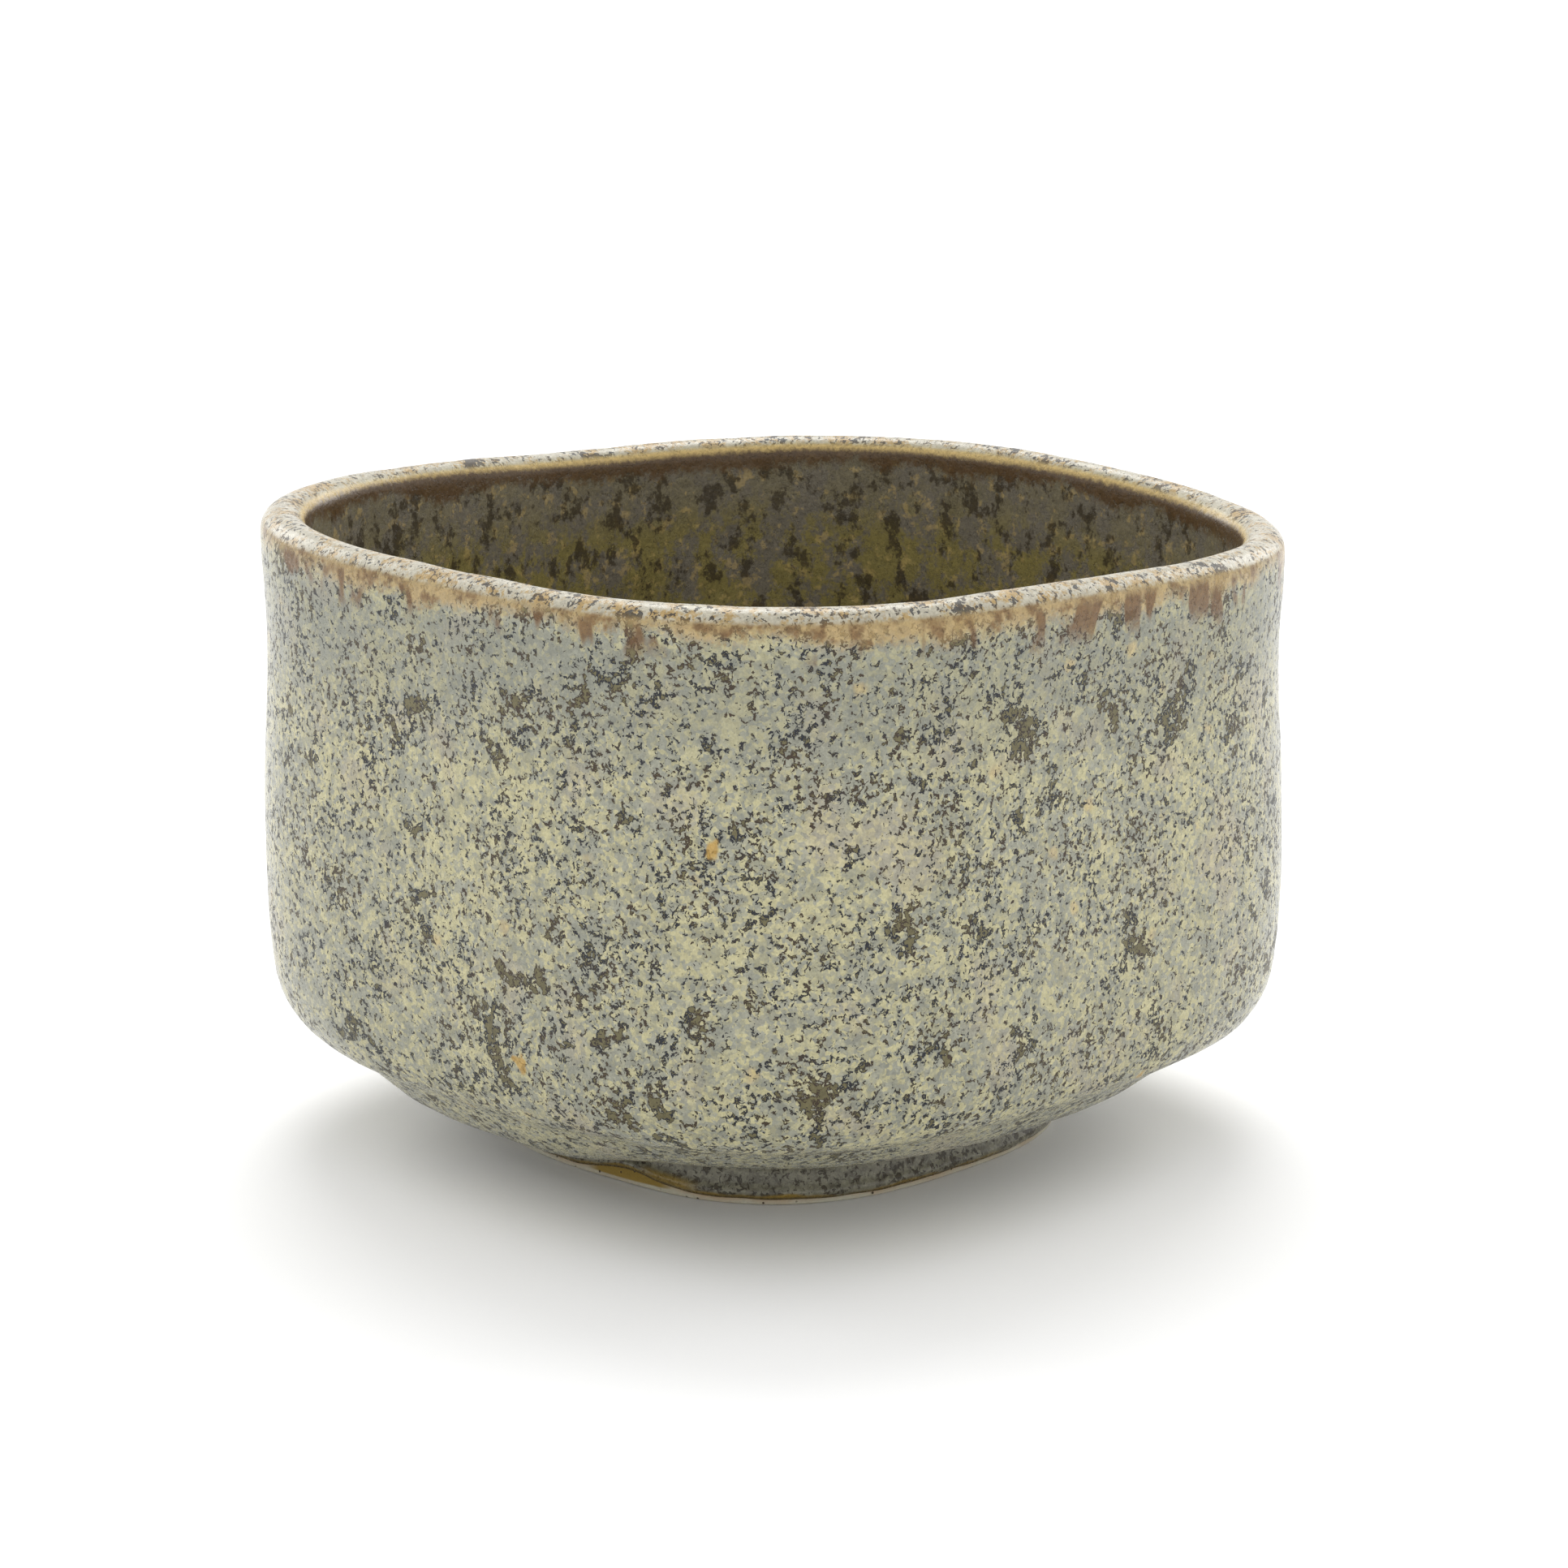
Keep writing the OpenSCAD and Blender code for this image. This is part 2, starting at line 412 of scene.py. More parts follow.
def tag_parts(form):
    """Notes on each face which part of the bowl it is."""
    mesh = form.data
    points = [v.co for v in mesh.vertices]
    crest = crest_of(points, COLUMNS)
    column = columns(points, COLUMNS)
    part = mesh.attributes.new("part", "INT", "FACE")
    for face, tag in zip(mesh.polygons, part.data):
        outward = face.normal.xy.dot(face.center.xy) > 0
        under_lip = sum(crest[column[i]][0] - points[i].z for i in face.vertices)
        under_lip /= len(face.vertices)
        if face.center.z < FOOT_H - NEAR:
            glazed = outward and face.center.z > BARE_H
            tag.value = GLAZED_FOOT if glazed else FOOT
        elif face.center.z < FOOT_H + NEAR and face.normal.z < -0.9:
            tag.value = CEILING
        elif under_lip < LIP_DEPTH:
            tag.value = LIP
        elif outward and face.normal.z < 0.5:
            tag.value = OUTSIDE
        else:
            tag.value = INSIDE


def smooth_step(low, high, value):
    share = min(1.0, max(0.0, (value - low) / (high - low)))
    return share * share * (3 - 2 * share)


def bump_at(a, middle, spread):
    """1 in a direction round the bowl, fading to 0 beside it; both are in degrees."""
    return math.exp(-((math.degrees(a) - middle) / spread) ** 2)


def glaze_line(shape, a):
    """Height of the glaze's edge above the table, round the foot."""
    high = max(bump_at(a, STOP_FRONT, STOP_FRONT_SPREAD),
               0.7 * bump_at(a, STOP_BACK, STOP_BACK_SPREAD))
    unit = Vector((math.cos(a), math.sin(a), 0.0))
    ripple = noise.noise(unit * 3.1) * 0.16 + noise.noise(unit * 9.0) * 0.10
    return shape.bare_low + (shape.bare_high - shape.bare_low) * high + ripple * MM


def foot_spot(shape, point, a, line):
    """Where a point on the side of the foot goes: the CAD's level edge becomes the line."""
    if point.z < BARE_H:
        z = point.z * line / BARE_H
    else:
        z = line + (point.z - BARE_H) * (FOOT_H - line) / (FOOT_H - BARE_H)
    slip = (NECK_R - FOOT_R) / FOOT_H * (z - point.z)
    slip -= shape.foot_pinch * bump_at(a, PINCH_AT, PINCH_SPREAD)
    return Vector((point.x + slip * math.cos(a), point.y + slip * math.sin(a), z))


def belly_sink(shape, z, a, line):
    """How far the belly sank, at a height and in a direction."""
    if not line < z < FOOT_H + DROOP_H:
        return 0.0
    side = smooth_step(*DROOP_STARTS, math.degrees(a))
    side *= 1 - smooth_step(*DROOP_ENDS, math.degrees(a))
    up = min((z - line) / (FOOT_H - line), 1 - (z - FOOT_H) / DROOP_H)
    return shape.droop * side * smooth_step(0, 1, up)


def hand_move(shape, part, point, normal, depth):
    """How far the hand-made surface stands off its true curve."""
    a, r = azimuth(point), flat_radius(point)
    wander = noise.noise(point * 38) * 0.7 + noise.noise(point * 85 + Vector((3, 1, 7))) * 0.5
    dimple = noise.noise(point * 210 + Vector((9, 2, 4)))
    move = shape.wall_wander * wander + shape.wall_dimple * dimple
    if part == CEILING:
        turn = math.cos(r / MM * SPIRAL_TURN - a)
        move = -shape.well_spiral * turn * min(1, r / WELL_MIDDLE) + 0.1 * MM * wander
        return move * min(1, max(0, (WELL_R - r) / WELL_EDGE))
    if part in (FOOT, GLAZED_FOOT):
        return move * min(1, max(0, point.z / FOOT_H))
    if part == INSIDE:
        ring = math.sin(point.z / MM * RING_TURN + RING_TILT * math.sin(a) + wander)
        return move + shape.throw_ring * ring * min(1, depth / RING_FADE)
    if part == OUTSIDE:
        share = smooth_step(*SWELL_STARTS, point.z)
        share *= 1 - smooth_step(*SWELL_ENDS, point.z)
        return move + shape.swell * share * math.sin(2 * a) ** 2
    return move * 0.6 + shape.lip_nick * noise.noise(point * 130) * max(0, normal.z)


def parts_of_points(form):
    """The part that each point belongs to; on the lip's borders, the lip's neighbour."""
    part = [None] * len(form.data.vertices)
    for face, tag in zip(form.data.polygons, part_tags(form)):
        for i in face.vertices:
            if part[i] is None or tag.value != LIP:
                part[i] = tag.value
    return part


def shape_by_hand(form, shape):
    """Moves the form's points as hands would, and notes depths for the glazes."""
    mesh = form.data
    points = [v.co.copy() for v in mesh.vertices]
    normals = [n.vector.copy() for n in mesh.vertex_normals]
    parts = parts_of_points(form)
    fine = COLUMNS * 2 ** shape.smooth
    crest = crest_of(points, fine)
    column = columns(points, fine)
    over = mesh.attributes.new("over", "FLOAT", "POINT")
    edge = mesh.attributes.new("edge", "FLOAT", "POINT")
    for i, (part, point, normal) in enumerate(zip(parts, points, normals)):
        lip_z, lip_r = crest[column[i]]
        a, r = azimuth(point), flat_radius(point)
        depth = lip_z - point.z
        line = glaze_line(shape, a)
        inner = part == INSIDE or (part == LIP and r < lip_r)
        spot = point.copy()
        if part in (FOOT, GLAZED_FOOT) and r > (WELL_R + FOOT_R) / 2:
            spot = foot_spot(shape, point, a, line)
        over.data[i].value = -depth if inner else depth
        edge.data[i].value = FAR_ABOVE if inner or part == CEILING else spot.z - line
        if part in (OUTSIDE, GLAZED_FOOT):
            spot.z -= belly_sink(shape, spot.z, a, line)
        mesh.vertices[i].co = spot + normal * hand_move(shape, part, point, normal, depth)
    mesh.update()


def bowl_form():
    """The whole bowl in clay, made once."""
    form = bpy.data.objects.get("bowl_form")
    if form:
        return form
    shape = bpy.context.scene.tea_bowl_shape
    form = join_clay()
    turn_foot(form, shape.foot_round)
    tag_parts(form)
    alone(form)
    smooth = form.modifiers.new("smooth", "SUBSURF")
    smooth.levels = smooth.render_levels = shape.smooth
    bpy.ops.object.modifier_apply(modifier=smooth.name)
    shape_by_hand(form, shape)
    return form


# ---- materials ----


class Level:
    """A number that changes over a surface; Python's operators add Math nodes."""

    def __init__(self, board, plug):
        self.board, self.plug = board, plug

    def __add__(self, other):
        return self.board.math("ADD", self, other)

    def __sub__(self, other):
        return self.board.math("SUBTRACT", self, other)

    def __rsub__(self, other):
        return self.board.math("SUBTRACT", other, self)

    def __mul__(self, other):
        return self.board.math("MULTIPLY", self, other)

    def __truediv__(self, other):
        return self.board.math("DIVIDE", self, other)

    __radd__, __rmul__ = __add__, __mul__

    def rise(self, low, high):
        """0 below low, 1 above high, and smooth between."""
        node = self.board.add("ShaderNodeMapRange", {"interpolation_type": "SMOOTHSTEP"},
                              {"Value": self, "From Min": low, "From Max": high})
        return Level(self.board, node.outputs["Result"])

    def fall(self, low, high):
        """1 below low, 0 above high, and smooth between."""
        node = self.board.add("ShaderNodeMapRange", {"interpolation_type": "SMOOTHSTEP"},
                              {"Value": self, "From Min": low, "From Max": high,
                               "To Min": 1.0, "To Max": 0.0})
        return Level(self.board, node.outputs["Result"])

    def most(self, other):
        return self.board.math("MAXIMUM", self, other)


class Board:
    """The nodes of one material."""

    def __init__(self, name):
        self.material = bpy.data.materials.new(name)
        self.material.use_nodes = True
        self.tree = self.material.node_tree
        self.tree.nodes.clear()
        where = self.add("ShaderNodeTexCoord")
        self.place = Level(self, where.outputs["Object"])

    def add(self, kind, settings=None, inputs=None):
        """A node of a kind, its settings first, then the values or links of its sockets."""
        node = self.tree.nodes.new(kind)
        for key, value in (settings or {}).items():
            setattr(node, key, value)
        for key, value in (inputs or {}).items():
            if isinstance(value, Level):
                self.tree.links.new(value.plug, node.inputs[key])
            else:
                node.inputs[key].default_value = value
        return node

    def math(self, operation, a, b):
        node = self.add("ShaderNodeMath", {"operation": operation}, {0: a, 1: b})
        return Level(self, node.outputs[0])

    def moved(self, shift=(0, 0, 0), scale=(1, 1, 1)):
        node = self.add("ShaderNodeMapping", None,
                        {"Vector": self.place, "Location": shift, "Scale": scale})
        return Level(self, node.outputs[0])

    def noise(self, scale, detail=2.0, rough=0.55, twist=0.0, at=None):
        node = self.add("ShaderNodeTexNoise", None,
                        {"Vector": at or self.place, "Scale": scale, "Detail": detail,
                         "Roughness": rough, "Distortion": twist})
        return Level(self, node.outputs["Fac"])

    def warped(self, scale, reach):
        """The place, pushed about by a noise of that scale."""
        push = self.add("ShaderNodeTexNoise", None,
                        {"Vector": self.place, "Scale": scale, "Detail": 2.0})
        centred = self.add("ShaderNodeVectorMath", {"operation": "SUBTRACT"},
                           {0: Level(self, push.outputs["Color"]), 1: (0.5, 0.5, 0.5)})
        node = self.add("ShaderNodeVectorMath", {"operation": "MULTIPLY_ADD"},
                        {0: Level(self, centred.outputs[0]), 1: (reach, reach, reach),
                         2: self.place})
        return Level(self, node.outputs[0])

    def cells(self, scale, at=None, feature="F1"):
        """Distance to the nearest cell's middle or edge, and a random number per cell."""
        node = self.add("ShaderNodeTexVoronoi", {"feature": feature},
                        {"Vector": at or self.place, "Scale": scale})
        if feature != "F1":
            return Level(self, node.outputs["Distance"])
        pieces = self.add("ShaderNodeSeparateColor", None,
                          {0: Level(self, node.outputs["Color"])})
        return (Level(self, node.outputs["Distance"]), Level(self, pieces.outputs[0]),
                Level(self, pieces.outputs[1]))

    def away_from(self, point):
        """Distance from a point, in millimetres."""
        node = self.add("ShaderNodeVectorMath", {"operation": "DISTANCE"},
                        {0: self.place, 1: point})
        return Level(self, node.outputs["Value"]) / MM

    def along(self, way):
        """Distance from the bowl's axis, measured along a level direction, in millimetres."""
        node = self.add("ShaderNodeVectorMath", {"operation": "DOT_PRODUCT"},
                        {0: self.place, 1: way})
        return self.math("ABSOLUTE", Level(self, node.outputs["Value"]) / MM, 0.0)

    def height(self):
        """Height above the table, in millimetres."""
        node = self.add("ShaderNodeSeparateXYZ", None, {0: self.place})
        return Level(self, node.outputs["Z"]) / MM

    def mix(self, share, a, b, blend="MIX"):
        """Colour a, with that share of colour b."""
        a, b = (c if isinstance(c, Level) else (*c, 1.0) for c in (a, b))
        node = self.add("ShaderNodeMix", {"data_type": "RGBA", "blend_type": blend},
                        {0: share, 6: a, 7: b})
        return Level(self, node.outputs[2])

    def grey(self, level):
        """A level as a colour to multiply by."""
        node = self.add("ShaderNodeCombineColor", None, {0: level, 1: level, 2: level})
        return Level(self, node.outputs[0])

    def attribute(self, name):
        node = self.add("ShaderNodeAttribute", {"attribute_name": name})
        return Level(self, node.outputs["Fac"])

    def surface(self, colour, roughness, height, reach, constants):
        """Joins the finish to the output."""
        bump = self.add("ShaderNodeBump", None,
                        {"Height": height, "Distance": reach, "Strength": 1.0})
        shader = self.add("ShaderNodeBsdfPrincipled", None, {
            "Base Color": colour, "Roughness": roughness,
            "Normal": Level(self, bump.outputs[0]), **constants})
        self.add("ShaderNodeOutputMaterial", None,
                 {"Surface": Level(self, shader.outputs[0])})
        return self.material


def flecks(b, warped, thin):
    """Where the glaze crawled: dark gaps, open ground in them, and their surroundings."""
    clot = b.noise(1250, 3.0, 0.68, at=warped)
    crowd = b.noise(165, 3.0, 0.6)
    seam = b.cells(1500, warped, "DISTANCE_TO_EDGE")
    depth = clot + seam * 0.34 + crowd * 0.34 - thin * 0.17
    gap = depth.fall(0.618, 0.636)
    ground = depth.fall(0.528, 0.540)
    near = depth.fall(0.640, 0.700)
    return gap, ground, near, clot


class Speckle:
    """The patterns and the depths that all zones of the glaze share."""

    def __init__(self, b, colours):
        # millimetres below the lip's crest, negative inside, and above the edge on the foot
        self.over = b.attribute("over") / MM
        self.edge = b.attribute("edge") / MM
        warped = b.warped(1300, 0.0009)
        self.blotch = b.noise(330, 4.0, 0.62, at=warped)
        self.grain = b.noise(1900, 2.0, 0.6, at=b.moved((0.2, 0.1, 0.6)))
        self.cool = b.noise(520, 3.0, 0.6, at=b.moved((0.7, 0.2, 0.4)))
        self.drip = b.noise(150, 2.0, 0.5, at=b.moved(scale=(1, 1, 0.32)))
        self.along = b.noise(24, 1.0, at=b.moved((0.0, 0.37, 0.0)))
        _, curd_pick, self.curd_tone = b.cells(1900, warped)
        cloud = b.noise(62, 2.0)
        self.yellow = (self.blotch * 0.50 + curd_pick * 0.34 + cloud * 0.45).rise(0.56, 0.74)

        # crawled gaps, widest where the glaze is thin, some cool and some warm
        thin = b.noise(150, 4.0, 0.6, 0.3, at=b.moved((0.0, 0.8, 0.2)))
        crawled = flecks(b, warped, thin.rise(0.585, 0.665))
        self.gap, self.ground, self.near, self.clot = crawled
        tint = b.noise(260, 1.0, at=b.moved((0.3, 0.3, 0.1)))
        self.dark = b.mix(tint.rise(0.44, 0.60), colours.ink, colours.rust)


def pale_mottle(b, s, colours):
    """Cream and grey curds parted by dark gaps, with olive ground and iron spots."""
    shade = b.mix(s.yellow, colours.ash, colours.cream)
    shade = b.mix((s.cool + s.curd_tone * 0.22).rise(0.62, 0.72) * 0.55, shade, colours.slate)
    flush = b.noise(105, 1.0, at=b.moved((0.1, 0.5, 0.9)))
    shade = b.mix(flush.rise(0.56, 0.70) * 0.3, shade, colours.blush)
    near_lip = s.over.rise(2.0, 5.0) * s.over.fall(9.0, 22.0)
    shade = b.mix(near_lip * 0.40 + s.edge.fall(3.0, 14.0) * 0.35, shade, colours.slate)
    shade = b.mix(s.near * 0.25, shade, colours.slate)
    warm, warm_pick, _ = b.cells(170, b.warped(700, 0.0014))
    warm = warm.fall(0.06, 0.20) * warm_pick.rise(0.80, 0.82)
    shade = b.mix(warm * 0.45, shade, colours.honey_and_highlight)
    shade = b.mix(s.gap, shade, s.dark)
    shade = b.mix(s.ground, shade, colours.olive)
    spot, spot_pick, spot_size = b.cells(78, b.warped(420, 0.0030))
    iron = (spot - spot_size * 0.05).fall(0.02, 0.055) * spot_pick.rise(0.70, 0.72)
    return b.mix(iron * 0.85, shade, colours.amber)


def lip_band(b, s, colours, shade):
    """The tan band under the lip, with burnt patches and drips."""
    reach = s.over - s.drip * 5.0 - s.along * 3.5 - s.clot * 4.0 + 7.0
    band = s.over.rise(0.4, 1.5) * reach.fall(2.2, 4.4)
    drop = b.noise(235, 2.0, 0.55, at=b.moved((0.5, 0.1, 0.0), (1, 1, 0.4)))
    drop = (drop + s.along * 0.25).rise(0.68, 0.74)
    drop = drop * s.over.rise(1.0, 2.2) * reach.fall(4.0, 7.0)
    burnt = band * reach.rise(-1.0, 3.0) * b.noise(330, 3.0, 0.6).rise(0.48, 0.62)
    shade = b.mix(band * 0.85, shade, colours.tan)
    return b.mix(burnt.most(drop) * 0.9, shade, colours.umber)


def dark_inside(b, s, colours, shade):
    """Olive and brown from the lip inwards, under a yellow line that is partly a painted
    highlight, and a dark one.
    """
    inner = 0 - s.over
    stain = b.noise(230, 5.0, 0.66, at=b.moved((0.2, 0.6, 0.1), (1, 1, 0.8)))
    deep = b.mix((stain + s.grain * 0.3).rise(0.57, 0.70), colours.dusk, colours.moss)
    deep = b.mix(inner.fall(5.0, 13.0) * 0.75, deep, colours.dusk)
    deep = b.mix((s.cool + s.clot * 0.4).rise(0.76, 0.86) * 0.38, deep, colours.honey_and_highlight)
    streak = b.noise(330, 5.0, 0.66, at=b.moved((0.9, 0.2, 0.3), (1, 1, 0.75)))
    deep = b.mix((streak + s.clot * 0.3).rise(0.67, 0.76) * 0.85, deep, colours.bark)
    sag = inner - (s.drip - 0.5) * 5.0 - (s.clot - 0.5) * 3.0
    scorch = b.mix(0.45, colours.umber, colours.bark)
    deep = b.mix(sag.fall(2.3, 3.8) * 0.9, deep, scorch)
    # painted highlight: the bright yellow line just inside the lip is partly glaze colour and
    # partly the light it catches, painted in
    deep = b.mix((inner + s.clot + s.along).fall(1.9, 2.6), deep, colours.honey_and_highlight)
    return b.mix(inner.rise(0.3, 1.0), shade, deep)


def lip_fringe(b, s, colours, shade):
    """Whitish curds along the top of the lip."""
    ridge = s.over - 0.25
    fringe = (ridge * ridge - s.clot).fall(-0.3, 0.6)
    curd = b.mix((s.blotch + s.grain * 0.6).rise(0.68, 0.86), colours.tan, colours.white)
    return b.mix(fringe, shade, b.mix(s.gap * 0.85, curd, s.dark))


def foot_side(b, s, colours, shade):
    """Dark glaze on the side of the foot, thick and clear along its edge."""
    low = b.mix((s.cool + s.grain * 0.5).rise(0.70, 0.82) * 0.6, colours.smoke, colours.bark)
    low = b.mix(s.yellow * 0.35, low, colours.ash)
    low = b.mix(s.gap * 0.8, low, colours.bark)
    shade = b.mix(s.edge.fall(3.4, 5.4) * 0.85, shade, low)
    rim = (s.edge - (s.drip - 0.5) * 1.2).fall(0.18, 0.55) * b.along(SYRUP_WAY).rise(13.0, 21.0)
    drop = b.away_from(DROP_AT).fall(2.0, 5.0) * s.edge.fall(0.9, 1.7)
    clear = b.mix(s.edge.fall(0.05, 0.40) * 0.80, colours.syrup, colours.bark)
    return b.mix(rim.most(drop * 0.85), shade, clear)


def glaze(name, colours):
    """The speckled glaze with its zones, from the edge on the foot to the floor."""
    b = Board(name)
    s = Speckle(b, colours)
    shade = pale_mottle(b, s, colours)
    for zone in (lip_band, dark_inside, lip_fringe, foot_side):
        shade = zone(b, s, colours, shade)
    grit = b.noise(4300, 1.0, 0.5)
    tooth = 0.48 + s.grain * 0.36 + grit * 0.34 + s.curd_tone * 0.20
    shade = b.mix(1.0, shade, b.grey(tooth), "MULTIPLY")
    height = (s.blotch * 0.5 + s.clot * 0.25 + s.grain * 0.1
              - s.gap * 0.4 - s.ground * 0.2)
    roughness = 0.22 + s.grain * 0.10 + s.gap * 0.2
    return b.surface(shade, roughness, height, 0.22 * MM,
                     {"Coat Weight": 0.12, "Coat Roughness": 0.16, "IOR": 1.37})


def foot_clay(name, colours):
    """Bare, close-grained clay, toasted beside the glaze."""
    b = Board(name)
    edge = b.attribute("edge") / MM
    grain = b.noise(2600, 3.0, 0.7)
    smear = b.noise(140, 3.0, 0.6)
    shade = b.mix(smear.rise(0.35, 0.7) * 0.35, colours.clay, colours.toast)
    toasted = (edge + smear * 0.8).rise(-0.1, 0.6)
    shade = b.mix(toasted * 0.75, shade, colours.toast)
    wash = (b.away_from(WASH_AT) + smear * 2.0).fall(5.5, 8.0)
    wash = wash * (b.height() + smear * 0.3).rise(0.70, 0.95)
    shade = b.mix(wash, shade, colours.syrup)
    grit, grit_pick, _ = b.cells(1500)
    speck = grit.fall(0.15, 0.3) * grit_pick.rise(0.86, 0.88)
    shade = b.mix(speck, shade, colours.rust)
    turned = b.noise(900, 2.0, 0.5, at=b.moved(scale=(0.2, 0.2, 1.6)))
    shade = b.mix(1.0, shade, b.grey(0.82 + grain * 0.36), "MULTIPLY")
    return b.surface(shade, 0.72 + grain * 0.16, grain * 0.6 + turned * 0.5 - speck * 0.4,
                     0.16 * MM, {"IOR": 1.45})


def foot_well_coat(name, colours):
    """Thin glaze wiped over the hollow of the foot."""
    b = Board(name)
    warped = b.warped(700, 0.0014)
    blotch = b.noise(210, 4.0, 0.6, at=warped)
    fleck = flecks(b, warped, blotch.rise(0.5, 0.7))[0]
    shade = b.mix(blotch.rise(0.42, 0.62) * 0.45, colours.smoke, colours.tan)
    shade = b.mix(b.noise(420, 3.0, 0.6).rise(0.50, 0.62) * 0.8, shade, colours.ash)
    shade = b.mix(fleck * 0.8, shade, colours.rust)
    return b.surface(shade, 0.34 + blotch * 0.2, blotch * 0.5 - fleck * 0.5, 0.2 * MM,
                     {"Coat Weight": 0.2, "Coat Roughness": 0.2, "IOR": 1.5})


def core_clay(name, colours):
    """The stoneware under the glaze."""
    b = Board(name)
    grain = b.noise(1900, 3.0, 0.7)
    body = b.noise(160, 3.0, 0.6)
    shade = b.mix(body.rise(0.4, 0.6) * 0.5, colours.clay, colours.toast)
    grit, grit_pick, _ = b.cells(1300)
    speck = grit.fall(0.15, 0.3) * grit_pick.rise(0.8, 0.84)
    shade = b.mix(speck, shade, colours.rust)
    return b.surface(shade, 0.7 + grain * 0.2, grain, 0.1 * MM, {"IOR": 1.45})


def floor_paper(name, colours):
    """A plain pale floor."""
    b = Board(name)
    tooth = b.noise(900, 2.0, 0.6)
    shade = b.mix(tooth * 0.04, colours.paper, (0.8, 0.8, 0.8))
    return b.surface(shade, 0.9 + tooth * 0.05, tooth, 0.02 * MM, {"IOR": 1.4})


# ---- pieces ----


def coat_share(height, full):
    """Thickness of the coat, as a share of the roll's, at millimetres above its edge.

    It is full over most of the bowl, swells to the roll and tapers off at the edge.
    """
    share = full
    if height < ROLL_TOP:
        share = full + (1 - full) * math.exp(-((height - ROLL_AT) / ROLL_SPREAD) ** 2)
    if height < TAPER_TOP:
        share *= EDGE_SHARE + (1 - EDGE_SHARE) * max(0, height) / TAPER_TOP
    return share


def thicken(piece, thickness, group=""):
    """Lays a coat of a thickness outwards, scaled by a vertex group if one is named."""
    alone(piece)
    wall = piece.modifiers.new("coat", "SOLIDIFY")
    wall.thickness = thickness
    wall.offset = 1.0
    wall.use_even_offset = True
    wall.vertex_group = group
    bpy.ops.object.modifier_apply(modifier=wall.name)


def close_lip_border(piece, sign):
    """Joins the two loops on the outer (1) or the inner (-1) side of the lip."""
    over = [v.value for v in piece.data.attributes["over"].data]
    close_border(piece, lambda e: over[e.verts[0].index] * sign > 0)


class TEABOWL_OT_clay_core(bpy.types.Operator):
    """Cut the clay body, which the coats of glaze cover, from the form"""
    bl_idname = "tea_bowl.clay_core"
    bl_label = "Clay core"

    def execute(self, context):
        core = copy_of(bowl_form(), "bowl_clay_core")
        keep_parts(core, (CEILING, OUTSIDE, LIP, INSIDE))
        close_border(core, lambda e: True)
        finish_piece(core, "stoneware", core_clay("core_clay", context.scene.tea_bowl_colours),
                     "clay_body")
        return {"FINISHED"}


class TEABOWL_OT_foot_ring(bpy.types.Operator):
    """Cut the foot ring, which shows bare clay under the glaze line, from the form"""
    bl_idname = "tea_bowl.foot_ring"
    bl_label = "Foot ring"

    def execute(self, context):
        ring = copy_of(bowl_form(), "foot_ring_clay")
        keep_parts(ring, (FOOT, GLAZED_FOOT))
        close_border(ring, lambda e: True)
        finish_piece(ring, "foot_clay", foot_clay("foot_clay", context.scene.tea_bowl_colours),
                     "foot_ring")
        return {"FINISHED"}


class TEABOWL_OT_glaze_coats(bpy.types.Operator):
    """Lay one coat of glaze over the form and part it outside, on the lip and inside"""
    bl_idname = "tea_bowl.glaze_coats"
    bl_label = "Glaze coats"

    def execute(self, context):
        shape = context.scene.tea_bowl_shape
        coat = copy_of(bowl_form(), "bowl_glaze")
        keep_parts(coat, (GLAZED_FOOT, OUTSIDE, LIP, INSIDE))
        group = coat.vertex_groups.new(name="thickness")
        for i, above in enumerate(coat.data.attributes["edge"].data):
            group.add([i], coat_share(above.value / MM, GLAZE_T / shape.roll), "REPLACE")
        thicken(coat, shape.roll, group.name)
        material = glaze("speckled_glaze", context.scene.tea_bowl_colours)
        for name, parts, slot, node in (
                ("bowl_outer_glaze", (GLAZED_FOOT, OUTSIDE), "outer_glaze", "outer_glaze"),
                ("bowl_lip_glaze", (LIP,), "lip_glaze", "lip_glaze"),
                ("bowl_inner_glaze", (INSIDE,), "inner_glaze", "inner_glaze")):
            piece = copy_of(coat, name)
            keep_parts(piece, parts)
            if LIP in parts:
                close_lip_border(piece, 1)
                close_lip_border(piece, -1)
            else:
                close_border(piece, lambda e: True)
            finish_piece(piece, slot, material, node)
        bpy.data.objects.remove(coat)
        return {"FINISHED"}


class TEABOWL_OT_foot_well_coat(bpy.types.Operator):
    """Lay the thin coat in the hollow of the foot"""
    bl_idname = "tea_bowl.foot_well_coat"
    bl_label = "Foot well coat"

    def execute(self, context):
        coat = copy_of(bowl_form(), "foot_well_coat")
        keep_parts(coat, (CEILING,))
        thicken(coat, GLAZE_T)
        finish_piece(coat, "foot_well_glaze",
                     foot_well_coat("foot_well_coat", context.scene.tea_bowl_colours),
                     "foot_well_glaze")
        return {"FINISHED"}


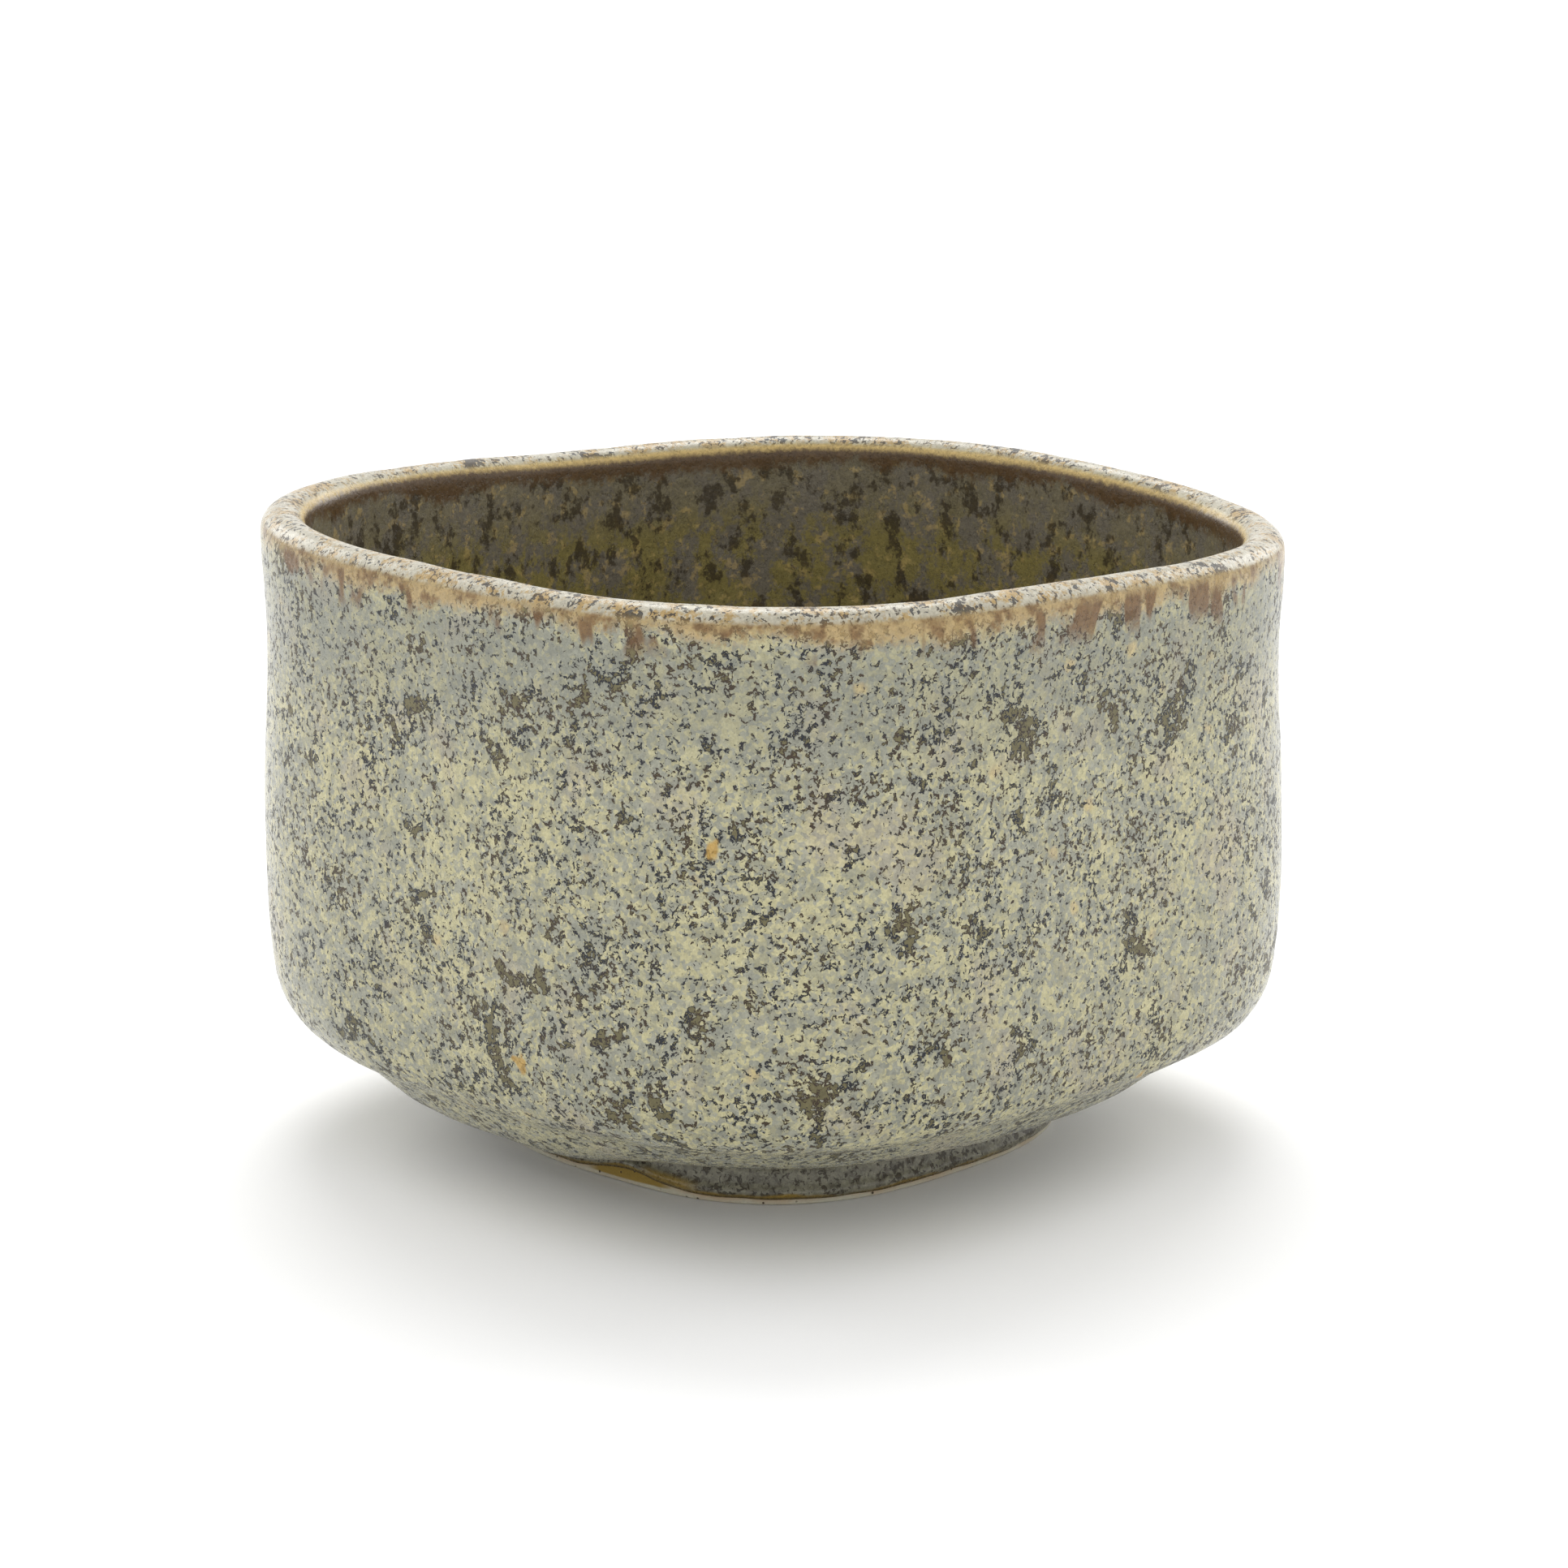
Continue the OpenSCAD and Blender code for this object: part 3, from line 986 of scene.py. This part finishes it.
class TEABOWL_OT_stage(bpy.types.Operator):
    """Set the floor, the soft lights and the camera"""
    bl_idname = "tea_bowl.stage"
    bl_label = "Stage"

    def execute(self, context):
        scene = context.scene
        stage = scene.tea_bowl_stage
        bpy.ops.object.select_all(action="DESELECT")
        bpy.ops.mesh.primitive_grid_add(x_subdivisions=8, y_subdivisions=8,
                                        size=stage.floor_w)
        floor = context.object
        floor.name = floor.data.name = "floor"
        floor.data.materials.append(floor_paper("floor_paper", scene.tea_bowl_colours))

        world = bpy.data.worlds.new("soft_room")
        world.use_nodes = True
        tree = world.node_tree
        back = tree.nodes["Background"]
        back.inputs["Color"].default_value = (1, 1, 1, 1)
        where = tree.nodes.new("ShaderNodeTexCoord")
        split = tree.nodes.new("ShaderNodeSeparateXYZ")
        height = tree.nodes.new("ShaderNodeMapRange")
        height.inputs["From Min"].default_value = 0.0
        height.inputs["From Max"].default_value = 1.0
        height.inputs["To Min"].default_value = stage.horizon
        height.inputs["To Max"].default_value = stage.zenith
        tree.links.new(where.outputs["Generated"], split.inputs[0])
        tree.links.new(split.outputs["Z"], height.inputs["Value"])
        tree.links.new(height.outputs["Result"], back.inputs["Strength"])
        scene.world = world

        turn = stage.camera_turn
        toward = Vector((math.sin(turn), -math.cos(turn), 0))
        right = Vector((math.cos(turn), math.sin(turn), 0))
        light = bpy.data.lights.new("overhead", "SUN")
        light.energy = stage.overhead
        light.angle = stage.softness
        lamp = bpy.data.objects.new("overhead", light)
        lamp.location = toward * -stage.overhead_back + Vector((0, 0, 1))
        lamp.rotation_euler = (-lamp.location).to_track_quat("-Z", "Y").to_euler()
        scene.collection.objects.link(lamp)

        for name, side in (("left_fill", -1), ("right_fill", 1)):
            light = bpy.data.lights.new(name, "SUN")
            light.energy = stage.fill
            light.angle = stage.softness
            lamp = bpy.data.objects.new(name, light)
            lamp.location = (right * side - toward) * stage.fill_aside
            lamp.location.z = stage.fill_high
            lamp.rotation_euler = (-lamp.location).to_track_quat("-Z", "Y").to_euler()
            scene.collection.objects.link(lamp)

        lens = bpy.data.cameras.new("camera")
        lens.lens = stage.lens
        lens.sensor_width = 36.0
        lens.dof.use_dof = False
        camera = bpy.data.objects.new("camera", lens)
        camera.location = toward * stage.camera_far + Vector((0, 0, stage.camera_high))
        camera.rotation_euler = (math.pi / 2 - stage.camera_dip, 0,
                                 turn - stage.camera_aside)
        scene.collection.objects.link(camera)
        scene.camera = camera
        scene.view_settings.view_transform = "Standard"
        return {"FINISHED"}


class TEABOWL_PT_panel(bpy.types.Panel):
    """Lists the pieces of the tea bowl"""
    bl_label = "Tea bowl"
    bl_idname = "TEABOWL_PT_panel"
    bl_space_type = "VIEW_3D"
    bl_region_type = "UI"
    bl_category = "Tea bowl"

    def draw(self, context):
        layout = self.layout
        for group in GROUPS:
            box = layout.box()
            settings = getattr(context.scene, GROUPS[group])
            box.label(text=settings.bl_rna.description)
            for key in group.__annotations__:
                box.prop(settings, key)
        for operator in OPERATORS:
            layout.operator(operator.bl_idname)


GROUPS = {
    TeaBowlShape: "tea_bowl_shape",
    TeaBowlColours: "tea_bowl_colours",
    TeaBowlStage: "tea_bowl_stage",
}
OPERATORS = (
    TEABOWL_OT_clay_core,
    TEABOWL_OT_foot_ring,
    TEABOWL_OT_glaze_coats,
    TEABOWL_OT_foot_well_coat,
    TEABOWL_OT_stage,
)


def register():
    for group, name in GROUPS.items():
        bpy.utils.register_class(group)
        setattr(bpy.types.Scene, name, PointerProperty(type=group))
    for item in (*OPERATORS, TEABOWL_PT_panel):
        bpy.utils.register_class(item)


def unregister():
    for item in reversed((*OPERATORS, TEABOWL_PT_panel)):
        bpy.utils.unregister_class(item)
    for group, name in reversed(list(GROUPS.items())):
        delattr(bpy.types.Scene, name)
        bpy.utils.unregister_class(group)


def main():
    register()
    bpy.ops.tea_bowl.clay_core()
    bpy.ops.tea_bowl.foot_ring()
    bpy.ops.tea_bowl.glaze_coats()
    bpy.ops.tea_bowl.foot_well_coat()
    bpy.ops.tea_bowl.stage()
    bpy.data.objects.remove(bowl_form())


if __name__ == "__main__":
    main()
